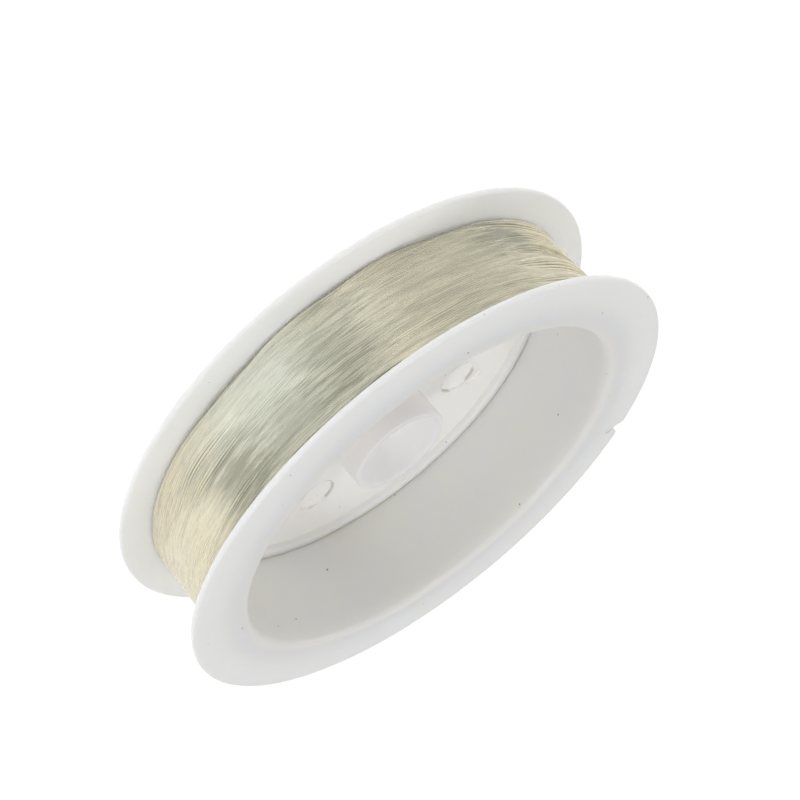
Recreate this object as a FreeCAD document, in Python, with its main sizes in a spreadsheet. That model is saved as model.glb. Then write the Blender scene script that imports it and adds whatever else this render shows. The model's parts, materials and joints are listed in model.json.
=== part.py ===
"""Small fishing line spool, wound with clear line. Millimetres.

The spool lies on its closed back face. Z is the bore axis, z = 0 is the back face, and the drum is
open towards +Z. X points through the line slit in the rim of the front flange.
"""

import FreeCAD
import Part
import Sketcher
import math
import os

DIMENSIONS = {
    # flanges and drum
    "flange_radius": 27.5,
    "spool_width": 12.6,
    "rim_thickness": 0.65,
    "root_thickness": 0.95,
    "rim_round": 0.27,
    "mouth_radius": 21.3,
    "mouth_round": 0.6,
    "drum_inner_radius": 20.9,
    "drum_outer_radius": 22.3,
    "drum_root_round": 0.25,
    # line slit in the front flange: an open notch, and a narrow slot that runs on from its tip
    "notch_outside": 28.2,
    "notch_long_side": 1.13,
    "notch_short_side": -1.9,
    "notch_corner_x": 27.2,
    "notch_corner_y": -0.98,
    "notch_tip_x": 26.2,
    "notch_tip_y": -0.15,
    "slot_half_width": 0.18,
    "slot_length": 0.95,
    "slot_angle": 37,
    # back disc, the seat that holds the drum, and the hub
    "web_thickness": 1.05,
    "seat_floor": 0.6,
    "fit_gap": 0.02,
    "spigot_width": 1.05,
    "spigot_height": 0.75,
    "spigot_round": 0.35,
    "bore_radius": 4.5,
    "bore_round": 0.3,
    "collar_radius": 5.2,
    "collar_top": 7.1,
    "collar_round": 0.2,
    "collar_foot_round": 0.5,
    # round recesses in the inner face of the web
    "recess_radius": 2.05,
    "recess_circle_radius": 13.1,
    "recess_depth": 0.25,
    "recess_count": 4,
    # the line, as wound
    "line_diameter": 0.3,
    "winding_radius": 24.4,
    "winding_end_gap": 0.05,
    "winding_edge_drop": 0.25,
    "winding_edge_width": 0.8,
    "winding_foot_bevel": 0.3,
    # the adhesive tape that holds the first turn to the drum
    "tape_thickness": 0.08,
    "tape_half_width": 3,
    "tape_angle": 40,
}

# The free end of the line leaves the last turn, crosses to the slit and comes up through it.
TAIL_ROUTE = [
    (22.79, -9.21, 10.55),
    (23.65, -6.86, 10.72),
    (24.37, -4.35, 10.93),
    (24.97, -2.19, 11.13),
    (25.24, -1.13, 11.24),
    (25.50, -0.68, 11.53),
    (25.80, -0.45, 12.00),
    (25.93, -0.35, 12.49),
]
ARC_SHARE_OF_RUN = 0.45
SAME_PLACE = 0.001
VOLUME_MATCH = 0.02
FULL_TURN = "360"
PARTS_FOLDER = "parts"


def make_sheet(doc):
    """The spreadsheet of driving dimensions, one aliased cell each."""
    sheet = doc.addObject("Spreadsheet::Sheet", "dims")
    for row, (alias, value) in enumerate(DIMENSIONS.items(), start=1):
        sheet.set(f"A{row}", alias)
        sheet.set(f"B{row}", str(value))
        sheet.setAlias(f"B{row}", alias)
    doc.recompute()
    return sheet


def new_body(doc, label):
    """An empty PartDesign body whose label is the name of its sub-part."""
    body = doc.addObject("PartDesign::Body", label)
    body.Label = label
    return body


def origin_feature(body, role):
    return next(f for f in body.Origin.OriginFeatures if f.Role == role)


def sketch_on(body, name, role):
    """An empty sketch on one of the body's own origin planes."""
    sketch = body.newObject("Sketcher::SketchObject", name)
    sketch.AttachmentSupport = [(origin_feature(body, role), "")]
    sketch.MapMode = "FlatFace"
    return sketch


def tie(sketch, kind, corner, text, value):
    """Ties one coordinate of a corner to its expression, or to the sketch's axis where it is zero."""
    if text == "0":
        axis = -2 if kind == "DistanceX" else -1
        sketch.addConstraint(Sketcher.Constraint("PointOnObject", corner, 1, axis))
        return
    number = sketch.addConstraint(Sketcher.Constraint(kind, -1, 1, corner, 1, value))
    sketch.setExpression(f"Constraints[{number}]", text)


def outline(body, name, role, corners):
    """A closed outline of straight sides. Each corner is two expressions, for its two coordinates."""
    sketch = sketch_on(body, name, role)
    values = [[float(body.evalExpression(text)) for text in corner] for corner in corners]
    count = len(corners)
    for index in range(count):
        start = FreeCAD.Vector(*values[index], 0)
        end = FreeCAD.Vector(*values[(index + 1) % count], 0)
        sketch.addGeometry(Part.LineSegment(start, end), False)
    for index in range(count):
        following = (index + 1) % count
        sketch.addConstraint(Sketcher.Constraint("Coincident", index, 2, following, 1))
    for index, (across, up) in enumerate(corners):
        tie(sketch, "DistanceX", index, across, values[index][0])
        tie(sketch, "DistanceY", index, up, values[index][1])
    return sketch


def turn(body, kind, name, sketch, angle=FULL_TURN):
    """A Revolution or Groove of the sketch about the bore axis. A part turn is centred on the sketch."""
    feature = body.newObject(f"PartDesign::{kind}", name)
    feature.Profile = sketch
    feature.ReferenceAxis = (sketch, ["V_Axis"])
    feature.Midplane = angle != FULL_TURN
    feature.setExpression("Angle", angle)
    body.Document.recompute()
    return feature


def circle_edges(body, rings):
    """The names of the body's edges that are whole circles at those (radius, height) expressions."""
    shape = body.Tip.Shape
    names = []
    for radius_text, height_text in rings:
        radius = float(body.evalExpression(radius_text))
        height = float(body.evalExpression(height_text))
        found = [
            f"Edge{number}"
            for number, edge in enumerate(shape.Edges, start=1)
            if isinstance(edge.Curve, Part.Circle)
            and abs(edge.Curve.Radius - radius) < SAME_PLACE
            and abs(edge.Curve.Center.z - height) < SAME_PLACE
        ]
        if not found:
            raise RuntimeError(f"{body.Label} has no edge at radius {radius}, height {height}")
        names += found
    return names


def round_rings(body, name, radius, rings):
    """Rounds the body's circular edges at those (radius, height) expressions."""
    base = body.Tip
    edges = circle_edges(body, rings)
    fillet = body.newObject("PartDesign::Fillet", name)
    fillet.Base = (base, edges)
    fillet.setExpression("Radius", radius)
    body.Document.recompute()
    return fillet


def check_cut(body, feature, before):
    """A pocket or groove has to take material away."""
    if not feature.Shape.Volume < before - SAME_PLACE:
        raise RuntimeError(f"{feature.Name} in {body.Label} cuts nothing")


def make_flanged_drum(doc):
    """Front moulding: the front flange and the drum wall, with the line slit in the rim."""
    body = new_body(doc, "flanged_drum")
    front = "dims.spool_width"
    flange_back = "dims.spool_width - dims.rim_thickness"
    root_back = "dims.spool_width - dims.root_thickness"
    profile = outline(body, "drum_profile", "XZ_Plane", [
        ("dims.drum_inner_radius", "dims.seat_floor"),
        ("dims.drum_outer_radius", "dims.seat_floor"),
        ("dims.drum_outer_radius", root_back),
        ("dims.flange_radius", flange_back),
        ("dims.flange_radius", front),
        ("dims.mouth_radius", front),
    ])
    turn(body, "Revolution", "drum_and_flange", profile)
    round_rings(body, "drum_rim_round", "dims.rim_round", [
        ("dims.flange_radius", front),
        ("dims.flange_radius", flange_back),
    ])
    round_rings(body, "mouth_edge_round", "dims.mouth_round", [("dims.mouth_radius", front)])
    round_rings(body, "drum_root_fillet", "dims.drum_root_round", [("dims.drum_outer_radius", root_back)])
    cut_line_slit(body)
    return body


def cut_line_slit(body):
    """The slit: a notch with one long and one short side, and a slot on from the notch's tip."""
    along = "cos(dims.slot_angle * 1deg)"
    across = "sin(dims.slot_angle * 1deg)"
    tip = ("dims.notch_tip_x", "dims.notch_tip_y")
    end = (
        f"dims.notch_tip_x - dims.slot_length * {along}",
        f"dims.notch_tip_y - dims.slot_length * {across}",
    )

    def beside(point, side):
        return (
            f"{point[0]} {side} dims.slot_half_width * {across}",
            f"{point[1]} {'+' if side == '-' else '-'} dims.slot_half_width * {along}",
        )

    sketch = outline(body, "slit_outline", "XY_Plane", [
        ("dims.notch_outside", "dims.notch_long_side"),
        beside(tip, "-"),
        beside(end, "-"),
        beside(end, "+"),
        beside(tip, "+"),
        ("dims.notch_corner_x", "dims.notch_corner_y"),
        ("dims.notch_outside", "dims.notch_short_side"),
    ])
    before = body.Tip.Shape.Volume
    pocket = body.newObject("PartDesign::Pocket", "line_slit")
    pocket.Profile = sketch
    pocket.Type = "ThroughAll"
    pocket.Reversed = True
    body.Document.recompute()
    check_cut(body, pocket, before)


def make_hub_disc(doc):
    """Back moulding: the back flange, the web that closes the drum, and the bored hub."""
    body = new_body(doc, "hub_disc")
    seat_outside = "dims.drum_outer_radius + dims.fit_gap"
    spigot_outside = "dims.drum_inner_radius - dims.fit_gap"
    spigot_inside = f"{spigot_outside} - dims.spigot_width"
    spigot_top = "dims.web_thickness + dims.spigot_height"
    profile = outline(body, "disc_profile", "XZ_Plane", [
        ("dims.bore_radius", "0"),
        ("dims.flange_radius", "0"),
        ("dims.flange_radius", "dims.rim_thickness"),
        (seat_outside, "dims.root_thickness"),
        (seat_outside, "dims.seat_floor"),
        (spigot_outside, "dims.seat_floor"),
        (spigot_outside, spigot_top),
        (spigot_inside, spigot_top),
        (spigot_inside, "dims.web_thickness"),
        ("dims.collar_radius", "dims.web_thickness"),
        ("dims.collar_radius", "dims.collar_top"),
        ("dims.bore_radius", "dims.collar_top"),
    ])
    turn(body, "Revolution", "disc_and_hub", profile)
    round_rings(body, "disc_rim_round", "dims.rim_round", [
        ("dims.flange_radius", "0"),
        ("dims.flange_radius", "dims.rim_thickness"),
    ])
    round_rings(body, "collar_top_round", "dims.collar_round", [
        ("dims.bore_radius", "dims.collar_top"),
        ("dims.collar_radius", "dims.collar_top"),
    ])
    round_rings(body, "collar_foot_fillet", "dims.collar_foot_round", [
        ("dims.collar_radius", "dims.web_thickness"),
    ])
    round_rings(body, "spigot_edge_round", "dims.spigot_round", [(spigot_inside, spigot_top)])
    round_rings(body, "bore_edge_round", "dims.bore_round", [("dims.bore_radius", "0")])
    cut_recesses(body)
    return body


def cut_recesses(body):
    """Round recesses, evenly spaced on a circle in the inner face of the web."""
    sketch = sketch_on(body, "recess_circle", "XY_Plane")
    sketch.setExpression("AttachmentOffset.Base.z", "dims.web_thickness")
    centre = FreeCAD.Vector(DIMENSIONS["recess_circle_radius"], 0, 0)
    radius = DIMENSIONS["recess_radius"]
    sketch.addGeometry(Part.Circle(centre, FreeCAD.Vector(0, 0, 1), radius), False)
    size = sketch.addConstraint(Sketcher.Constraint("Radius", 0, radius))
    sketch.setExpression(f"Constraints[{size}]", "dims.recess_radius")
    place = sketch.addConstraint(Sketcher.Constraint("DistanceX", -1, 1, 0, 3, centre.x))
    sketch.setExpression(f"Constraints[{place}]", "dims.recess_circle_radius")
    sketch.addConstraint(Sketcher.Constraint("PointOnObject", 0, 3, -1))
    before = body.Tip.Shape.Volume
    pocket = body.newObject("PartDesign::Pocket", "recess")
    pocket.Profile = sketch
    pocket.setExpression("Length", "dims.recess_depth")
    body.Document.recompute()
    check_cut(body, pocket, before)
    one = before - pocket.Shape.Volume
    pattern = body.newObject("PartDesign::PolarPattern", "recesses")
    pattern.Originals = [pocket]
    pattern.Axis = (sketch, ["N_Axis"])
    pattern.Angle = 360
    pattern.setExpression("Occurrences", "dims.recess_count")
    body.Tip = pattern
    body.Document.recompute()
    taken = before - pattern.Shape.Volume
    if abs(taken - one * DIMENSIONS["recess_count"]) > SAME_PLACE:
        raise RuntimeError("the recesses are not all cut")


def make_line_winding(doc):
    """The wound line as one ring with crowned edges, and a shallow pocket for the tape."""
    body = new_body(doc, "line_winding")
    back = "dims.root_thickness + dims.winding_end_gap"
    front = "dims.spool_width - dims.root_thickness - dims.winding_end_gap"
    bevel = "dims.drum_outer_radius + dims.winding_foot_bevel"
    edge = "dims.winding_radius - dims.winding_edge_drop"
    profile = outline(body, "winding_profile", "XZ_Plane", [
        ("dims.drum_outer_radius", f"{back} + dims.winding_foot_bevel"),
        (bevel, back),
        (edge, back),
        ("dims.winding_radius", f"{back} + dims.winding_edge_width"),
        ("dims.winding_radius", f"{front} - dims.winding_edge_width"),
        (edge, front),
        (bevel, front),
        ("dims.drum_outer_radius", f"{front} - dims.winding_foot_bevel"),
    ])
    turn(body, "Revolution", "winding_ring", profile)
    before = body.Tip.Shape.Volume
    # The pocket's outline starts inside the drum wall, so that it opens onto the ring's inner face.
    groove = turn(body, "Groove", "tape_pocket", tape_outline(body, "dims.drum_inner_radius"), "dims.tape_angle")
    check_cut(body, groove, before)
    return body


def tape_outline(body, inside):
    """The tape's section across the drum, from the given inner radius to the tape's outer face."""
    middle = "dims.spool_width / 2"
    outside = "dims.drum_outer_radius + dims.tape_thickness"
    return outline(body, f"{body.Label}_tape_section", "XZ_Plane", [
        (inside, f"{middle} - dims.tape_half_width"),
        (outside, f"{middle} - dims.tape_half_width"),
        (outside, f"{middle} + dims.tape_half_width"),
        (inside, f"{middle} + dims.tape_half_width"),
    ])


def make_line_start_tape(doc):
    """The strip of tape on the drum that holds the line's first turn."""
    body = new_body(doc, "line_start_tape")
    turn(body, "Revolution", "tape_strip", tape_outline(body, "dims.drum_outer_radius"), "dims.tape_angle")
    return body


def arc_at(before, corner, after):
    """The ends, middle and radius of the arc that rounds one corner of the route."""
    back = (before - corner).normalize()
    ahead = (after - corner).normalize()
    run = min((before - corner).Length, (after - corner).Length)
    turned = math.pi - back.getAngle(ahead)
    trim = ARC_SHARE_OF_RUN * run
    radius = trim / math.tan(turned / 2)
    towards_centre = (back + ahead).normalize()
    to_centre = radius / math.cos(turned / 2)
    middle = corner + towards_centre * (to_centre - radius)
    return corner + back * trim, middle, corner + ahead * trim, radius


def rounded_route(points):
    """A wire of straight runs joined by tangent arcs, and the smallest radius in it."""
    edges = []
    radii = []
    last = points[0]
    for before, corner, after in zip(points, points[1:], points[2:]):
        start, middle, end, radius = arc_at(before, corner, after)
        edges.append(Part.LineSegment(last, start).toShape())
        edges.append(Part.Arc(start, middle, end).toShape())
        radii.append(radius)
        last = end
    edges.append(Part.LineSegment(last, points[-1]).toShape())
    return Part.Wire(edges), radii


def make_line_tail(doc, sheet):
    """The free end of the line, a thin tube from the last turn up into the slit."""
    points = [FreeCAD.Vector(*point) for point in TAIL_ROUTE]
    path, radii = rounded_route(points)
    radius = sheet.line_diameter / 2
    heading = points[1] - points[0]
    section = Part.Wire(Part.Circle(points[0], heading, radius).toShape())
    tube = path.makePipeShell([section], True, False)
    expected = math.pi * radius**2 * path.Length
    if abs(tube.Volume - expected) > VOLUME_MATCH * expected:
        raise RuntimeError(f"the tail's volume is {tube.Volume}, and should be {expected}")
    tail = doc.addObject("Part::Feature", "line_tail")
    tail.Label = "line_tail"
    tail.Shape = tube
    tail.Placement = FreeCAD.Placement()
    print("line_tail: length", round(path.Length, 2), "radii", [round(r, 2) for r in radii])
    return tail


def check_document(doc, sub_parts):
    """Every object has computed, and every sub-part is one valid closed solid."""
    for item in doc.Objects:
        if "Invalid" in item.State or "Error" in item.State:
            raise RuntimeError(f"{item.Name} did not compute: {item.State}")
    for item in sub_parts:
        shape = item.Shape
        if shape.isNull() or not shape.isValid() or len(shape.Solids) != 1:
            raise RuntimeError(f"{item.Label} is not one valid solid")


def main():
    doc = FreeCAD.newDocument("line_spool")
    sheet = make_sheet(doc)
    sub_parts = [
        make_flanged_drum(doc),
        make_hub_disc(doc),
        make_line_start_tape(doc),
        make_line_winding(doc),
        make_line_tail(doc, sheet),
    ]
    doc.recompute()
    check_document(doc, sub_parts)
    os.makedirs(PARTS_FOLDER, exist_ok=True)
    for item in sub_parts:
        item.Shape.exportStep(f"{PARTS_FOLDER}/{item.Label}.step")
        print(item.Label, "volume", round(item.Shape.Volume, 2))


main()
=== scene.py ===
"""The looks of a small fishing line spool: two milky plastic mouldings wound with clear line.

Lengths are metres in the spool's own frame: Z is the bore axis, z = 0 is the back face that the
spool lies on, and X points through the line slit in the front flange.
"""

import json
import math
import random

import bmesh
import bpy
from mathutils import Matrix, Vector


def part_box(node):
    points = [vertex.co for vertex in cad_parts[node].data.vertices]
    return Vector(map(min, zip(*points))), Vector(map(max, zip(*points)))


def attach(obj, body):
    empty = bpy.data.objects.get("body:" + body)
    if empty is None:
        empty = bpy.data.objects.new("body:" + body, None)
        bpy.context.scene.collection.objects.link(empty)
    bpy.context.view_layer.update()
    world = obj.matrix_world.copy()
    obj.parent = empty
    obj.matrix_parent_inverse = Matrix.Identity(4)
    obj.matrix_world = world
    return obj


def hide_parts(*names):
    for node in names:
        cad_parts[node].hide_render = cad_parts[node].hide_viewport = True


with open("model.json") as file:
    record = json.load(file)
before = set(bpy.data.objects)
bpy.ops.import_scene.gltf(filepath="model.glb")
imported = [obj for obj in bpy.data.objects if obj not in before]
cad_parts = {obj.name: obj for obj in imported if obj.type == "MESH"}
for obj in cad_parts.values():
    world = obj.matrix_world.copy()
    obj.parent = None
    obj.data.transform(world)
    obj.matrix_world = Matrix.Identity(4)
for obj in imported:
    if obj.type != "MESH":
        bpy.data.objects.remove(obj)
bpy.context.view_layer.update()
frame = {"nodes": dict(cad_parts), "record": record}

MM = 0.001

# Sizes read from the frame
FLANGE_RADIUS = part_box("hub_disc")[1].x
SPOOL_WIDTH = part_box("flanged_drum")[1].z
COLLAR_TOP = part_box("hub_disc")[1].z
WINDING_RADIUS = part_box("line_winding")[1].x
WINDING_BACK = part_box("line_winding")[0].z
WINDING_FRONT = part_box("line_winding")[1].z
BORE = next(m for m in frame["record"]["mounts"] if m["kind"] == "bore")
BORE_RADIUS = BORE["dims"]["r_mm"] * MM

# Sizes of the two mouldings
RIM_THICKNESS = 0.65 * MM
ROOT_THICKNESS = 0.95 * MM
RIM_ROUND = 0.27 * MM
MOUTH_RADIUS = 21.3 * MM
MOUTH_ROUND = 0.6 * MM
DRUM_INNER_RADIUS = 20.9 * MM
DRUM_OUTER_RADIUS = 22.3 * MM
DRUM_ROOT_ROUND = 0.25 * MM
WEB_THICKNESS = 1.05 * MM
SEAT_FLOOR = 0.6 * MM
FIT_GAP = 0.02 * MM
SPIGOT_WIDTH = 1.05 * MM
SPIGOT_HEIGHT = 0.75 * MM
SPIGOT_ROUND = 0.35 * MM
SPIGOT_SQUEEZE = 0.03 * MM
COLLAR_RADIUS = 5.2 * MM
COLLAR_ROUND = 0.2 * MM
COLLAR_FOOT_ROUND = 0.5 * MM
BORE_ROUND = 0.3 * MM
SHARP = 0.03 * MM
SPIGOT_EDGE_ROUND = SHARP / 8
LONGEST_SIDE = 1.0 * MM
RECESS_RADIUS = 2.05 * MM
RECESS_CIRCLE_RADIUS = 13.1 * MM
RECESS_DEPTH = 0.25 * MM
RECESS_COUNT = 4
RECESS_SIDES = 64

# The line
LINE_DIAMETER = 0.3 * MM
TAPE_THICKNESS = 0.08 * MM

# The free end of the line, from the last turn up through the slit
TAIL_ROUTE = [
    (22.79 * MM, -9.21 * MM, 10.55 * MM),
    (23.65 * MM, -6.86 * MM, 10.72 * MM),
    (24.37 * MM, -4.35 * MM, 10.93 * MM),
    (24.97 * MM, -2.19 * MM, 11.13 * MM),
    (25.24 * MM, -1.13 * MM, 11.24 * MM),
    (25.50 * MM, -0.68 * MM, 11.53 * MM),
    (25.80 * MM, -0.45 * MM, 12.00 * MM),
    (25.93 * MM, -0.35 * MM, 12.49 * MM),
]


# ---------------------------------------------------------------- camera


# The camera that fits the photographed outlines of both flanges, the mouth and the hub, in degrees:
# its place seen from the middle of the front face, then the way it looks and how far it is rolled
CAMERA_DISTANCE = 209.4 * MM
CAMERA_AROUND = 135.3
CAMERA_ABOVE = 21.02
CAMERA_HEADING = -43.78
CAMERA_DIP = -23.45
CAMERA_ROLL = 139.6
CAMERA_LENS = 99.07


def direction(around, above):
    """The unit vector at these degrees round Z from +X and above the floor."""
    a, e = math.radians(around), math.radians(above)
    return Vector((math.cos(a) * math.cos(e), math.sin(a) * math.cos(e), math.sin(e)))


def make_camera():
    """A long lens at the photograph's angle, 21 degrees above the plane of the open side."""
    place = Vector((0, 0, SPOOL_WIDTH)) + CAMERA_DISTANCE * direction(CAMERA_AROUND, CAMERA_ABOVE)
    forward = direction(CAMERA_HEADING, CAMERA_DIP)
    roll = math.radians(CAMERA_ROLL)
    data = bpy.data.cameras.new("camera")
    data.lens = CAMERA_LENS
    data.sensor_width = 36
    data.clip_start = 0.01
    data.clip_end = 10
    camera = bpy.data.objects.new("camera", data)
    bpy.context.scene.collection.objects.link(camera)
    level = forward.to_track_quat("-Z", "Y").to_matrix().to_4x4()
    camera.matrix_world = Matrix.Translation(place) @ level @ Matrix.Rotation(roll, 4, "Z")
    bpy.context.scene.camera = camera


# ---------------------------------------------------------------- the line


LAYERS = 7
LAYER_RISE = 0.286 * MM
TURNS_PER_LAYER = 35
TOP_LAYER_TURNS = 50
INNER_POINTS_PER_TURN = 12
TOP_POINTS_PER_TURN = 44
STEPS_BETWEEN_POINTS = 3
WANDER_SIZE = 0.13 * MM
LIFT_SIZE = 0.024 * MM

# The hidden first layer sways from side to side, this far in all. Real line doesn't: the table
# check keeps a centreline only to 1 mm, and loses a plain first layer among those above it.
FIRST_LAYER_SWAY = 1.5 * MM
FIRST_POINTS_PER_TURN = 24

# Where the outer turns have slackened and drawn together in bunches:
# (angle, half the angle it spans, sideways pull, width of a bunch)
SLACK_PLACES = [
    (68, 13, 0.38 * MM, 1.9 * MM),
    (168, 9, 0.09 * MM, 1.3 * MM),
    (284, 16, 0.13 * MM, 1.6 * MM),
]
# A bunch rises by this share of its pull, and its phase gains this many radians per radian
BUNCH_LIFT = 0.6
BUNCH_SLANT = 3


def smooth(t):
    """0 below 0, 1 above 1, and an even S between."""
    t = min(1.0, max(0.0, t))
    return t * t * (3 - 2 * t)


def random_waves(seed, rates, drift):
    """Sine waves round the drum, each (waves per turn, phase, phase gained from turn to turn)."""
    draw = random.Random(seed)
    return [(rate, draw.uniform(0, 2 * math.pi), draw.uniform(-drift, drift)) for rate in rates]


ALONG_DRUM = random_waves(seed=5, rates=(2, 3, 5, 7, 11, 14), drift=0.25)
OFF_DRUM = random_waves(seed=9, rates=(3, 4, 7, 9), drift=1.6)


def ripple(waves, angle):
    """The sum of the waves at an angle that counts whole turns."""
    turns = angle / (2 * math.pi)
    return sum(math.sin(rate * angle + phase + drift * turns) for rate, phase, drift in waves)


def bunching(angle, height):
    """How far sideways and up a slackened turn is drawn where it lies in a bunch."""
    over, up = 0.0, 0.0
    for degrees, span, pull, width in SLACK_PLACES:
        away = math.degrees(math.remainder(angle - math.radians(degrees), 2 * math.pi))
        slack = math.exp(-((away / span) ** 2))
        phase = 2 * math.pi * height / width + math.radians(away) * BUNCH_SLANT
        over += pull * slack * math.sin(phase)
        up -= BUNCH_LIFT * pull * slack * math.cos(phase)
    return over, up


def winding_points():
    """Control points of the wound line, from the drum outwards, turn by turn and layer by layer.

    The curve cuts inside its control points, so they stand further out by the swell. It goes half
    as far sideways as points that alternate, so those of the first layer move by its whole sway.
    """
    first_radius = DRUM_OUTER_RADIUS + TAPE_THICKNESS + LINE_DIAMETER / 2
    low = WINDING_BACK + LINE_DIAMETER / 2
    high = WINDING_FRONT - LINE_DIAMETER / 2
    last_angle = math.atan2(TAIL_ROUTE[0][1], TAIL_ROUTE[0][0])
    angle = last_angle - 2 * math.pi * ((LAYERS - 1) * TURNS_PER_LAYER + TOP_LAYER_TURNS)
    points = []
    for layer in range(LAYERS):
        top = layer == LAYERS - 1
        turns = TOP_LAYER_TURNS if top else TURNS_PER_LAYER
        per_turn = TOP_POINTS_PER_TURN if top else INNER_POINTS_PER_TURN
        start, finish = (low, high) if layer % 2 == 0 else (high, low)
        if layer == 0:
            per_turn = FIRST_POINTS_PER_TURN
            start, finish = low + FIRST_LAYER_SWAY / 2, high - FIRST_LAYER_SWAY / 2
        if top:
            finish = TAIL_ROUTE[0][2]
        step = 2 * math.pi / per_turn
        swell = 1 / (0.75 + 0.25 * math.cos(step))
        for index in range(turns * per_turn):
            climb = layer - 1 + smooth(2 * index / per_turn) if layer else 0
            height = start + (finish - start) * index / (turns * per_turn)
            radius = first_radius + LAYER_RISE * climb
            if layer == 0:
                height += FIRST_LAYER_SWAY * (-1) ** index
            if top:
                settle = smooth((last_angle - angle) / math.pi)
                over, up = bunching(angle, height)
                height += settle * (over + WANDER_SIZE * ripple(ALONG_DRUM, angle))
                radius += settle * (up + LIFT_SIZE * ripple(OFF_DRUM, angle))
            if layer:
                height = min(high, max(low, height))
            around = (math.cos(angle), math.sin(angle))
            points.append((radius * swell * around[0], radius * swell * around[1], height))
            angle += step
    return points


def make_line():
    """The whole line as one curve: its wound turns, then its free end. Its points hold its radius."""
    points = winding_points() + TAIL_ROUTE
    data = bpy.data.curves.new("fishing_line", "CURVE")
    data.dimensions = "3D"
    data.bevel_depth = 1.0
    data.bevel_resolution = 1
    data.use_fill_caps = True
    spline = data.splines.new("NURBS")
    spline.points.add(len(points) - 1)
    spline.points.foreach_set("co", [v for p in points for v in (*p, 1.0)])
    spline.points.foreach_set("radius", [LINE_DIAMETER / 2] * len(points))
    spline.order_u = 3
    spline.use_endpoint_u = True
    spline.resolution_u = STEPS_BETWEEN_POINTS
    line = bpy.data.objects.new("fishing_line", data)
    bpy.context.scene.collection.objects.link(line)
    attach(line, "root")
    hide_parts("line_winding", "line_tail")
    return line


# ---------------------------------------------------------------- mouldings


def rounded(corners, steps=5):
    """A closed section of straight sides with rounded corners. Each corner is (radius, height, round)."""
    section = []
    count = len(corners)
    for index, (r, z, size) in enumerate(corners):
        corner = Vector((r, z))
        before = Vector(corners[index - 1][:2]) - corner
        after = Vector(corners[(index + 1) % count][:2]) - corner
        back, ahead = before.normalized(), after.normalized()
        half = back.angle(ahead) / 2
        trim = size / math.tan(half)
        centre = corner + (back + ahead).normalized() * (size / math.sin(half))
        start, end = corner + back * trim - centre, corner + ahead * trim - centre
        sweep = start.angle_signed(end)
        for step in range(steps + 1):
            turned = -sweep * step / steps
            c, s = math.cos(turned), math.sin(turned)
            section.append(centre + Vector((start.x * c - start.y * s, start.x * s + start.y * c)))
    return section


def divided(section, longest):
    """The closed section again, with points added so that no side is longer than that."""
    out = []
    for here, there in zip(section, section[1:] + section[:1]):
        pieces = max(1, math.ceil((there - here).length / longest))
        out += [here.lerp(there, k / pieces) for k in range(pieces)]
    return out


def lathed(name, section, segments=300):
    """A closed ring made by turning a closed section about the bore axis."""
    mesh = bmesh.new()
    rings = []
    for k in range(segments):
        angle = 2 * math.pi * (k + 0.5) / segments
        c, s = math.cos(angle), math.sin(angle)
        rings.append([mesh.verts.new((p.x * c, p.x * s, p.y)) for p in section])
    count = len(section)
    for k in range(segments):
        here, there = rings[k], rings[(k + 1) % segments]
        for i in range(count):
            j = (i + 1) % count
            mesh.faces.new((here[i], here[j], there[j], there[i]))
    bmesh.ops.recalc_face_normals(mesh, faces=mesh.faces)
    data = bpy.data.meshes.new(name)
    mesh.to_mesh(data)
    mesh.free()
    piece = bpy.data.objects.new(name, data)
    bpy.context.scene.collection.objects.link(piece)
    return piece


def prism(outline, low, high):
    """A closed upright prism, to cut with."""
    mesh = bmesh.new()
    floor = [mesh.verts.new((x, y, low)) for x, y in outline]
    roof = [mesh.verts.new((x, y, high)) for x, y in outline]
    mesh.faces.new(floor[::-1])
    mesh.faces.new(roof)
    for i in range(len(outline)):
        j = (i + 1) % len(outline)
        mesh.faces.new((floor[i], floor[j], roof[j], roof[i]))
    bmesh.ops.recalc_face_normals(mesh, faces=mesh.faces)
    data = bpy.data.meshes.new("cutter")
    mesh.to_mesh(data)
    mesh.free()
    cutter = bpy.data.objects.new("cutter", data)
    bpy.context.scene.collection.objects.link(cutter)
    return cutter


def cut(piece, cutter):
    """Takes the cutter's space out of the piece."""
    modifier = piece.modifiers.new("cut", "BOOLEAN")
    modifier.operation = "DIFFERENCE"
    modifier.solver = "EXACT"
    modifier.object = cutter
    graph = bpy.context.evaluated_depsgraph_get()
    data = bpy.data.meshes.new_from_object(piece.evaluated_get(graph))
    piece.modifiers.clear()
    piece.data = data
    bpy.data.objects.remove(cutter)


def smooth_by_angle(piece, degrees=32):
    piece.data.shade_smooth()
    piece.data.set_sharp_from_angle(angle=math.radians(degrees))


# A notch in the rim that ends in a narrow slot, x and y in mm, and the heights it is cut between
SLIT_OUTLINE = [(28.2, 1.13), (26.09, -0.01), (25.33, -0.58), (25.55, -0.87), (26.31, -0.29),
                (27.2, -0.98), (28.2, -1.9)]
SLIT_CUT_LOW = 10 * MM
SLIT_CUT_HIGH = 14 * MM


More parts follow.
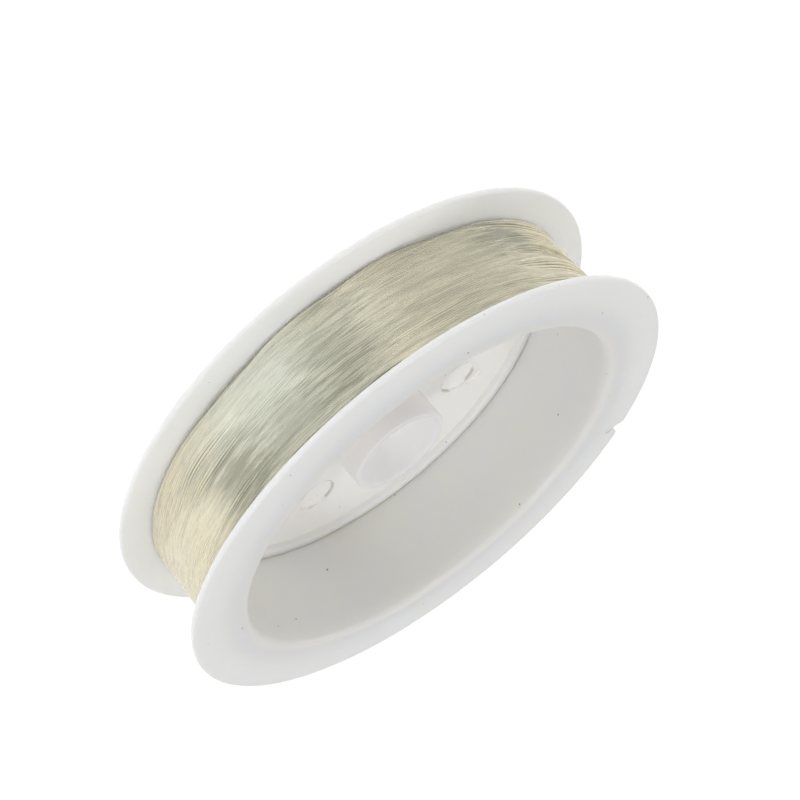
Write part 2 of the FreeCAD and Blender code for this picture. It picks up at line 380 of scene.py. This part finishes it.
def make_front_moulding():
    """Front flange and drum wall in one, with the line slit in the rim."""
    flange_back = SPOOL_WIDTH - RIM_THICKNESS
    root_back = SPOOL_WIDTH - ROOT_THICKNESS
    section = rounded([
        (DRUM_INNER_RADIUS, SEAT_FLOOR, SHARP),
        (DRUM_OUTER_RADIUS, SEAT_FLOOR, SHARP),
        (DRUM_OUTER_RADIUS, root_back, DRUM_ROOT_ROUND),
        (FLANGE_RADIUS, flange_back, RIM_ROUND),
        (FLANGE_RADIUS, SPOOL_WIDTH, RIM_ROUND),
        (MOUTH_RADIUS, SPOOL_WIDTH, MOUTH_ROUND),
    ])
    piece = lathed("front_moulding", divided(section, LONGEST_SIDE))
    outline = [(x * MM, y * MM) for x, y in SLIT_OUTLINE]
    cut(piece, prism(outline, SLIT_CUT_LOW, SLIT_CUT_HIGH))
    smooth_by_angle(piece)
    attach(piece, "root")
    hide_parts("flanged_drum")
    return piece


# A gouge in the web beside the recess on the X side, x and y in mm
GOUGE_OUTLINE = [(14.9, -1.25), (15.5, -1.75), (16.1, -1.6), (16.2, -1.05), (16.6, -0.35),
                 (16.35, 0.15), (15.95, -0.35), (15.55, -0.8), (15.15, -0.75)]
GOUGE_DEPTH = 0.18 * MM


def make_back_moulding():
    """Back flange, web, spigot ring and bored collar in one, with the round recesses."""
    seat_outside = DRUM_OUTER_RADIUS + FIT_GAP
    spigot_outside = DRUM_INNER_RADIUS + SPIGOT_SQUEEZE
    spigot_inside = spigot_outside - SPIGOT_WIDTH
    spigot_top = WEB_THICKNESS + SPIGOT_HEIGHT
    section = rounded([
        (BORE_RADIUS, 0, BORE_ROUND),
        (FLANGE_RADIUS, 0, RIM_ROUND),
        (FLANGE_RADIUS, RIM_THICKNESS, RIM_ROUND),
        (seat_outside, ROOT_THICKNESS, SHARP),
        (seat_outside, SEAT_FLOOR, SHARP),
        (spigot_outside, SEAT_FLOOR, SHARP),
        (spigot_outside, spigot_top, SPIGOT_EDGE_ROUND),
        (spigot_inside, spigot_top, SPIGOT_ROUND),
        (spigot_inside, WEB_THICKNESS, SHARP),
        (COLLAR_RADIUS, WEB_THICKNESS, COLLAR_FOOT_ROUND),
        (COLLAR_RADIUS, COLLAR_TOP, COLLAR_ROUND),
        (BORE_RADIUS, COLLAR_TOP, COLLAR_ROUND),
    ])
    piece = lathed("back_moulding", divided(section, LONGEST_SIDE))
    for index in range(RECESS_COUNT):
        around = 2 * math.pi * index / RECESS_COUNT
        cx, cy = RECESS_CIRCLE_RADIUS * math.cos(around), RECESS_CIRCLE_RADIUS * math.sin(around)
        outline = [
            (cx + RECESS_RADIUS * math.cos(a), cy + RECESS_RADIUS * math.sin(a))
            for a in (2 * math.pi * k / RECESS_SIDES for k in range(RECESS_SIDES))
        ]
        cut(piece, prism(outline, WEB_THICKNESS - RECESS_DEPTH, 2 * WEB_THICKNESS))
    cut(piece, prism([(x * MM, y * MM) for x, y in GOUGE_OUTLINE], WEB_THICKNESS - GOUGE_DEPTH,
                     2 * WEB_THICKNESS))
    smooth_by_angle(piece)
    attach(piece, "root")
    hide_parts("hub_disc")
    return piece


# ---------------------------------------------------------------- materials


class Nodes:
    """A material's nodes, with short calls for making and joining them."""

    def __init__(self, name):
        self.material = bpy.data.materials.new(name)
        self.material.use_nodes = True
        self.tree = self.material.node_tree
        self.shader = self.tree.nodes["Principled BSDF"]

    def fixed(self, **values):
        """Sets the shader's own sockets, by their names with _ for a space."""
        for name, value in values.items():
            self.shader.inputs[name.replace("_", " ")].default_value = value

    def put(self, socket, value):
        """Joins the output of another node to a socket, or sets a plain value there."""
        if isinstance(value, bpy.types.NodeSocket):
            self.tree.links.new(value, socket)
        else:
            socket.default_value = value

    def to_shader(self, name, value):
        self.put(self.shader.inputs[name], value)

    def math(self, operation, first, second=0.0, third=0.0):
        node = self.tree.nodes.new("ShaderNodeMath")
        node.operation = operation
        for socket, value in zip(node.inputs, (first, second, third)):
            self.put(socket, value)
        return node.outputs[0]

    def place(self):
        """x, y and z of the shaded point in the spool's frame, in millimetres."""
        coordinates = self.tree.nodes.new("ShaderNodeTexCoord")
        scaled = self.tree.nodes.new("ShaderNodeVectorMath")
        scaled.operation = "SCALE"
        scaled.inputs["Scale"].default_value = 1 / MM
        self.put(scaled.inputs[0], coordinates.outputs["Object"])
        split = self.tree.nodes.new("ShaderNodeSeparateXYZ")
        self.put(split.inputs[0], scaled.outputs[0])
        return split.outputs

    def vector(self, x, y, z):
        node = self.tree.nodes.new("ShaderNodeCombineXYZ")
        for socket, value in zip(node.inputs, (x, y, z)):
            self.put(socket, value)
        return node.outputs[0]

    def length(self, x, y):
        squares = self.math("ADD", self.math("MULTIPLY", x, x), self.math("MULTIPLY", y, y))
        return self.math("SQRT", squares)

    def noise(self, vector, scale, detail=2.0, roughness=0.5):
        node = self.tree.nodes.new("ShaderNodeTexNoise")
        node.inputs["Scale"].default_value = scale
        node.inputs["Detail"].default_value = detail
        node.inputs["Roughness"].default_value = roughness
        self.put(node.inputs["Vector"], vector)
        return node.outputs["Fac"]

    def ranged(self, value, low, high, to_low=0.0, to_high=1.0):
        """value from low to high, spread smoothly over to_low to to_high."""
        node = self.tree.nodes.new("ShaderNodeMapRange")
        node.interpolation_type = "SMOOTHSTEP"
        names = ("From Min", "From Max", "To Min", "To Max")
        for name, number in zip(names, (low, high, to_low, to_high)):
            node.inputs[name].default_value = number
        self.put(node.inputs["Value"], value)
        return node.outputs["Result"]

    def mixed(self, share, first, second):
        """first where share is 0, second where it is 1."""
        node = self.tree.nodes.new("ShaderNodeMix")
        node.data_type = "RGBA"
        for name, value in (("Factor_Float", share), ("A_Color", first), ("B_Color", second)):
            socket = next(i for i in node.inputs if i.identifier == name)
            self.put(socket, value)
        return next(o for o in node.outputs if o.identifier == "Result_Color")

    def bump(self, height, distance, strength):
        node = self.tree.nodes.new("ShaderNodeBump")
        node.inputs["Distance"].default_value = distance
        node.inputs["Strength"].default_value = strength
        self.put(node.inputs["Height"], height)
        self.to_shader("Normal", node.outputs["Normal"])


COOL_WHITE = (0.965, 0.975, 0.985, 1)
# The next warm white and the cream are painted warm bounce light inside the drum and on its wall
BOUNCE_WARM_WHITE = (0.985, 0.965, 0.94, 1)
CLOUDY_WHITE = (0.95, 0.945, 0.94, 1)
WALL_BOUNCE_CREAM = (0.985, 0.95, 0.88, 1)
# Painted shade on the collar: a darker white there
COLLAR_SHADE_WHITE = (0.915, 0.90, 0.905, 1)
# The next colour is painted shade round the edges of the recesses
RECESS_SHADE = (0.42, 0.40, 0.38, 1)
SPECK = (0.10, 0.075, 0.06, 1)


def specks(n, place, scale, size, share):
    """Small dots of dust, one in some of the cells of a pattern."""
    cells = n.tree.nodes.new("ShaderNodeTexVoronoi")
    cells.inputs["Scale"].default_value = scale
    n.put(cells.inputs["Vector"], place)
    colour = n.tree.nodes.new("ShaderNodeSeparateColor")
    n.put(colour.inputs[0], cells.outputs["Color"])
    chosen = n.math("LESS_THAN", colour.outputs[0], share)
    reach = n.math("MULTIPLY", colour.outputs[1], size * scale)
    return n.math("MULTIPLY", chosen, n.math("LESS_THAN", cells.outputs["Distance"], reach))


def plastic_material():
    """Milky polypropylene: lets light through, with painted warm bounce light inside the drum and on its
    wall, painted shade on the collar and round the recesses, and specks of dust.
    """
    n = Nodes("spool_plastic")
    n.fixed(IOR=1.49, Transmission_Weight=0.15, Subsurface_Weight=1.0,
            Subsurface_Radius=(1.0, 0.95, 0.85), Subsurface_Scale=1.2 * MM)
    x, y, z = n.place()
    place = n.vector(x, y, z)
    radius = n.length(x, y)
    drum_outside, drum_inside = DRUM_OUTER_RADIUS / MM, DRUM_INNER_RADIUS / MM
    collar_outside, web_face = COLLAR_RADIUS / MM, WEB_THICKNESS / MM
    # Painted warm bounce light: warmer inside the drum, and cream on the drum wall
    drum = n.ranged(radius, drum_outside + 0.9, drum_outside - 0.3)
    cloud = n.ranged(n.noise(place, 0.16, 4.0, 0.6), 0.4, 0.72)
    wall = n.math("MULTIPLY", drum, n.ranged(radius, drum_inside - 0.5, drum_inside - 0.1))
    colour = n.mixed(wall, n.mixed(drum, COOL_WHITE, BOUNCE_WARM_WHITE), WALL_BOUNCE_CREAM)
    colour = n.mixed(n.math("MULTIPLY", cloud, 0.6), colour, CLOUDY_WHITE)
    # Painted shade: the collar and bore are mixed to a darker white
    hub = n.ranged(radius, collar_outside + 0.5, collar_outside + 0.1)
    colour = n.mixed(hub, colour, COLLAR_SHADE_WHITE)

    # Painted shade round the edges of the recesses, and dust
    flat_x, flat_y = n.math("ABSOLUTE", x), n.math("ABSOLUTE", y)
    out = n.math("SUBTRACT", n.math("MAXIMUM", flat_x, flat_y), RECESS_CIRCLE_RADIUS / MM)
    aside = n.math("MINIMUM", flat_x, flat_y)
    off_edge = n.math("ABSOLUTE", n.math("SUBTRACT", n.length(out, aside), RECESS_RADIUS / MM))
    broken = n.ranged(n.noise(place, 0.55, 3.0), 0.42, 0.58)
    edge = n.math("MULTIPLY", n.ranged(off_edge, 0.16, 0.03), broken)
    low_down = n.ranged(z, web_face + 0.55, web_face + 0.15)
    recess_shade = n.math("MULTIPLY", n.math("MULTIPLY", edge, low_down), 0.55)
    colour = n.mixed(recess_shade, colour, RECESS_SHADE)
    on_wall = n.math("MULTIPLY", specks(n, place, 0.24, 0.22, 0.8), wall)
    dust = n.math("MAXIMUM", on_wall, specks(n, place, 0.6, 0.10, 0.8))
    colour = n.mixed(n.math("MULTIPLY", dust, 0.85), colour, SPECK)
    n.to_shader("Base Color", colour)

    # Faint turning marks from the mould, and a fine grain
    fine = n.noise(place, 4.5, 3.0)
    rings = n.noise(n.vector(radius, 0.0, 0.0), 5.0, 2.0)
    n.to_shader("Roughness", n.ranged(n.math("ADD", fine, cloud), 0.4, 1.5, 0.34, 0.5))
    n.bump(n.math("ADD", n.math("MULTIPLY", rings, 0.5), fine), 0.012 * MM, 0.5)
    return n.material


CREAM = (0.86, 0.80, 0.61, 1)
# Painted shade on the line: the pale grey, in greyer patches
PALE_SHADE_GREY = (0.80, 0.815, 0.70, 1)
# Painted shade on the line: the deep grey, in darker patches and streaks
DEEP_SHADE_GREY = (0.40, 0.395, 0.305, 1)

# Patches of painted shade on the line, darker ones and greyer ones:
# (angle, height in mm, length and width in mm, depth)
DARK_SHADE_PATCHES = [
    (99, 5.5, 12.5, 10.0, 0.66),
    (80, 3.0, 4.2, 3.4, 0.65),
    (132, 6.0, 4.2, 6.5, 0.7),
    (166, 7.8, 4.4, 4.0, 0.9),
    (148, 8.6, 8.0, 3.4, 0.7),
    (176, 4.4, 3.5, 2.5, 0.35),
    (20, 4.0, 7.0, 3.0, 0.5),
    (250, 7.0, 8.0, 3.0, 0.5),
    (310, 4.5, 6.0, 2.5, 0.6),
]
GREY_SHADE_PATCHES = [
    (147, 5.5, 12.5, 9.0, 1.0),
    (280, 5.0, 12.0, 8.0, 0.8),
    (10, 6.0, 11.0, 8.0, 0.7),
]


def patches(n, along, height, ragged, table):
    """The depth of all the patches of a table, where along and height are in millimetres."""
    half_turn = math.pi * WINDING_RADIUS / MM
    total = 0.0
    for degrees, middle_height, length, width, depth in table:
        middle = math.remainder(math.radians(degrees), 2 * math.pi) * WINDING_RADIUS / MM
        aside = n.math("WRAP", n.math("SUBTRACT", along, middle), half_turn, -half_turn)
        off = n.math("SUBTRACT", height, middle_height)
        far = n.length(n.math("DIVIDE", aside, length), n.math("DIVIDE", off, width))
        total = n.math("ADD", total, n.ranged(n.math("ADD", far, ragged), 1.3, 0.1, 0.0, depth))
    return n.math("MINIMUM", total, 1.0)


def stretched(n, x, y, z, radius, along_scale, across_scale):
    """A place for a noise that is drawn out along the turns and differs from turn to turn."""
    across = n.math("ADD", n.math("MULTIPLY", z, across_scale), radius)
    return n.vector(n.math("MULTIPLY", x, along_scale), n.math("MULTIPLY", y, along_scale), across)


def line_material():
    """Clear nylon line with a pale yellow-green cast, with painted shade in patches and painted streaks
    of sheen and shade that follow the turns.
    """
    n = Nodes("nylon_line")
    n.fixed(IOR=1.53, Transmission_Weight=0.05, Subsurface_Weight=0.0)
    x, y, z = n.place()
    radius = n.length(x, y)
    along = n.math("MULTIPLY", n.math("ARCTAN2", y, x), WINDING_RADIUS / MM)
    streaks = n.noise(stretched(n, x, y, z, radius, 0.2, 2.6), 1.0, 3.0, 0.65)
    fine = n.noise(stretched(n, x, y, z, radius, 0.35, 6.0), 1.0, 2.0, 0.6)
    ragged = n.ranged(n.math("ADD", streaks, fine), 0.7, 1.3, -0.2, 0.2)
    # Painted shade: greyer patches over the cream
    colour = n.mixed(patches(n, along, z, ragged, GREY_SHADE_PATCHES), CREAM, PALE_SHADE_GREY)
    # Painted shade: darker patches, broken up by the streaks
    patch_breakup = n.ranged(streaks, 0.68, 0.40, 0.6, 1.0)
    dark_patch_share = n.math("MULTIPLY", patches(n, along, z, ragged, DARK_SHADE_PATCHES), patch_breakup)
    colour = n.mixed(dark_patch_share, colour, DEEP_SHADE_GREY)
    # Painted streaks of sheen and shade along the turns
    colour = n.mixed(n.ranged(streaks, 0.5, 0.3, 0.0, 0.18), colour, DEEP_SHADE_GREY)
    colour = n.mixed(n.ranged(fine, 0.52, 0.36, 0.0, 0.28), colour, DEEP_SHADE_GREY)
    n.to_shader("Base Color", colour)
    n.to_shader("Roughness", n.ranged(streaks, 0.35, 0.65, 0.38, 0.16))
    return n.material


PALE_TAPE = (0.86, 0.83, 0.70, 1)
YELLOW_TAPE = (0.78, 0.74, 0.58, 1)


def tape_material():
    """Yellowed clear tape that holds the line's first turns on the drum."""
    n = Nodes("clear_tape")
    n.fixed(IOR=1.48, Transmission_Weight=0.2)
    x, y, z = n.place()
    place = n.vector(x, y, z)
    creases = n.noise(n.vector(n.math("MULTIPLY", x, 0.3), n.math("MULTIPLY", y, 0.3), z), 1.8, 4.0)
    n.to_shader("Base Color", n.mixed(n.ranged(creases, 0.35, 0.65), PALE_TAPE, YELLOW_TAPE))
    n.to_shader("Roughness", n.ranged(creases, 0.3, 0.7, 0.18, 0.36))
    n.bump(n.noise(place, 1.2, 3.0), 0.02 * MM, 0.5)
    return n.material


def set_material(piece, material):
    piece.data.materials.clear()
    piece.data.materials.append(material)


# ---------------------------------------------------------------- stage


FLOOR_GAP = 0.02 * MM


def make_floor():
    """A wide pale floor just under the spool, lit from within so that shadows on it stay faint."""
    bpy.ops.mesh.primitive_plane_add(size=6, location=(0, 0, -FLOOR_GAP))
    floor = bpy.context.active_object
    floor.name = "floor"
    n = Nodes("pale_floor")
    n.fixed(Base_Color=(0.45, 0.45, 0.445, 1), Roughness=0.9, Specular_IOR_Level=0.1,
            Emission_Color=(1.0, 1.0, 0.99, 1), Emission_Strength=0.75)
    set_material(floor, n.material)


COOL_LIGHT = (0.97, 0.985, 1.0)
WARM_LIGHT = (1.0, 0.985, 0.96)


def make_area_light(name, around, above, distance, size, power, colour):
    """A square soft light aimed at the middle of the spool."""
    towards = direction(around, above)
    data = bpy.data.lights.new(name, "AREA")
    data.size = size
    data.energy = power
    data.color = colour
    light = bpy.data.objects.new(name, data)
    bpy.context.scene.collection.objects.link(light)
    light.location = Vector((0, 0, SPOOL_WIDTH / 2)) + towards * distance
    light.rotation_mode = "QUATERNION"
    light.rotation_quaternion = towards.to_track_quat("Z", "Y")


def make_world(colour, strength):
    world = bpy.data.worlds.new("studio")
    world.use_nodes = True
    background = world.node_tree.nodes["Background"]
    background.inputs["Color"].default_value = (*colour, 1)
    background.inputs["Strength"].default_value = strength
    bpy.context.scene.world = world


make_camera()
line = make_line()
front = make_front_moulding()
back = make_back_moulding()
plastic = plastic_material()
set_material(front, plastic)
set_material(back, plastic)
set_material(line, line_material())
set_material(frame["nodes"]["line_start_tape"], tape_material())
make_floor()
make_world(colour=(1.0, 1.0, 1.0), strength=0.58)
make_area_light("left", around=192, above=40, distance=0.6, size=0.12, power=0.78, colour=COOL_LIGHT)
make_area_light("right", around=22, above=24, distance=0.6, size=0.07, power=0.35, colour=WARM_LIGHT)
make_area_light("over", around=95, above=48, distance=0.6, size=0.09, power=0.3, colour=WARM_LIGHT)
bpy.context.scene.view_settings.view_transform = "Standard"
bpy.context.scene.cycles.max_bounces = 24
bpy.context.scene.cycles.diffuse_bounces = 12
